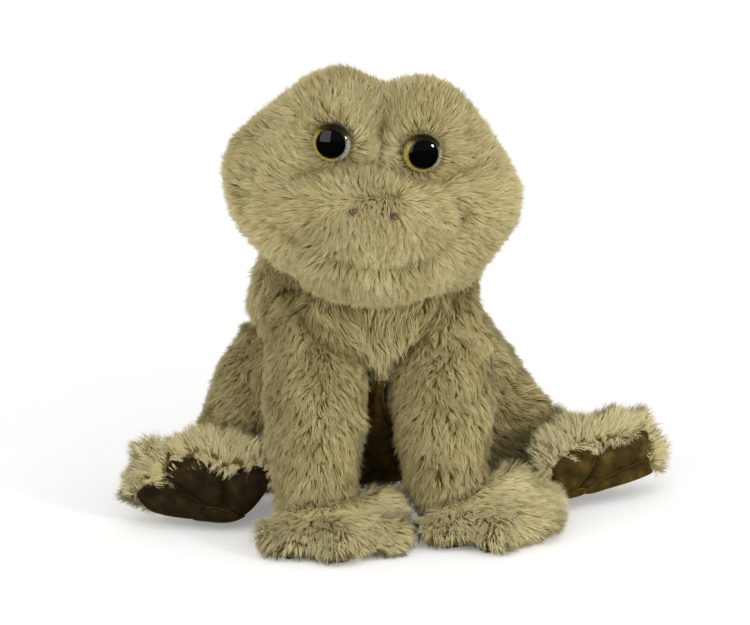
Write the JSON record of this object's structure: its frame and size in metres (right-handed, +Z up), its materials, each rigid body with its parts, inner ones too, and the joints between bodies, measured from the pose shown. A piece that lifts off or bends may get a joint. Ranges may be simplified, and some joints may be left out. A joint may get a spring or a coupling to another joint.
{
  "type": "plush frog",
  "caption": "Seated plush frog with a wide flat head, clear plastic eyes, long pile and dark velvet soles, with limbs and head that turn.",
  "frame": {"origin": "on the floor under the front half of the flat seat, on the middle plane of the body", "axes": "+Z up, the frog faces -Y, its own right side is at -X"},
  "size_m": [0.2894, 0.1956, 0.2351],
  "materials": {
    "olive_plush": "matte",
    "dark_velvet": "matte",
    "white_filling": "matte",
    "bag_cotton": "matte",
    "black_plastic": "gloss",
    "clear_plastic": "gloss",
    "white_plastic": "satin",
    "brown_thread": "matte"
  },
  "bodies": {
    "body": {"body_skin": "olive_plush", "belly_panel": "dark_velvet", "body_stuffing": "white_filling", "pellet_bag": "bag_cotton"},
    "neck": {"neck_stuffing": "white_filling"},
    "head": {"head_skin": "olive_plush", "head_stuffing": "white_filling", "eye_back_right": "black_plastic", "eye_back_left": "black_plastic", "eye_lens_right": "clear_plastic", "eye_lens_left": "clear_plastic", "eye_washer_right": "white_plastic", "eye_washer_left": "white_plastic", "nostril_right": "brown_thread", "nostril_left": "brown_thread"},
    "arm_right": {"arm_skin_right": "olive_plush", "arm_stuffing_right": "white_filling"},
    "hand_right": {"hand_skin_right": "olive_plush", "hand_palm_right": "dark_velvet", "hand_stuffing_right": "white_filling"},
    "leg_right": {"leg_skin_right": "olive_plush", "leg_stuffing_right": "white_filling"},
    "foot_right": {"foot_skin_right": "olive_plush", "foot_sole_right": "dark_velvet", "foot_stuffing_right": "white_filling"},
    "arm_left": {"arm_skin_left": "olive_plush", "arm_stuffing_left": "white_filling"},
    "hand_left": {"hand_skin_left": "olive_plush", "hand_palm_left": "dark_velvet", "hand_stuffing_left": "white_filling"},
    "leg_left": {"leg_skin_left": "olive_plush", "leg_stuffing_left": "white_filling"},
    "foot_left": {"foot_skin_left": "olive_plush", "foot_sole_left": "dark_velvet", "foot_stuffing_left": "white_filling"}
  },
  "joints": [
    {"name": "neck_turn", "type": "hinge", "parent": "body", "child": "neck", "pos_m": [0, -0.002, 0.1], "axis": [0, -0.3746, 0.9272], "range_deg": [-25, 25]},
    {"name": "neck_nod", "type": "hinge", "parent": "neck", "child": "head", "pos_m": [0, -0.002, 0.1], "axis": [-1, 0, 0], "range_deg": [-4, 8]},
    {"name": "shoulder_right", "type": "hinge", "parent": "body", "child": "arm_right", "pos_m": [-0.033, -0.028, 0.092], "axis": [-1, 0, 0], "range_deg": [0, 30]},
    {"name": "wrist_right", "type": "hinge", "parent": "arm_right", "child": "hand_right", "pos_m": [-0.042, -0.072, 0.0255], "axis": [-1, 0, 0], "range_deg": [-4, 20]},
    {"name": "hip_right", "type": "hinge", "parent": "body", "child": "leg_right", "pos_m": [-0.047, 0.023, 0.046], "axis": [-1, 0, 0], "range_deg": [-10, 16]},
    {"name": "ankle_right", "type": "hinge", "parent": "leg_right", "child": "foot_right", "pos_m": [-0.082, -0.016, 0.0265], "axis": [-1, 0, 0], "range_deg": [-15, 15]},
    {"name": "shoulder_left", "type": "hinge", "parent": "body", "child": "arm_left", "pos_m": [0.033, -0.028, 0.092], "axis": [-1, 0, 0], "range_deg": [0, 30]},
    {"name": "wrist_left", "type": "hinge", "parent": "arm_left", "child": "hand_left", "pos_m": [0.025, -0.072, 0.0255], "axis": [-1, 0, 0], "range_deg": [-4, 20]},
    {"name": "hip_left", "type": "hinge", "parent": "body", "child": "leg_left", "pos_m": [0.047, 0.023, 0.046], "axis": [-1, 0, 0], "range_deg": [-10, 16]},
    {"name": "ankle_left", "type": "hinge", "parent": "leg_left", "child": "foot_left", "pos_m": [0.096, -0.016, 0.0265], "axis": [-1, 0, 0], "range_deg": [-15, 15]}
  ]
}
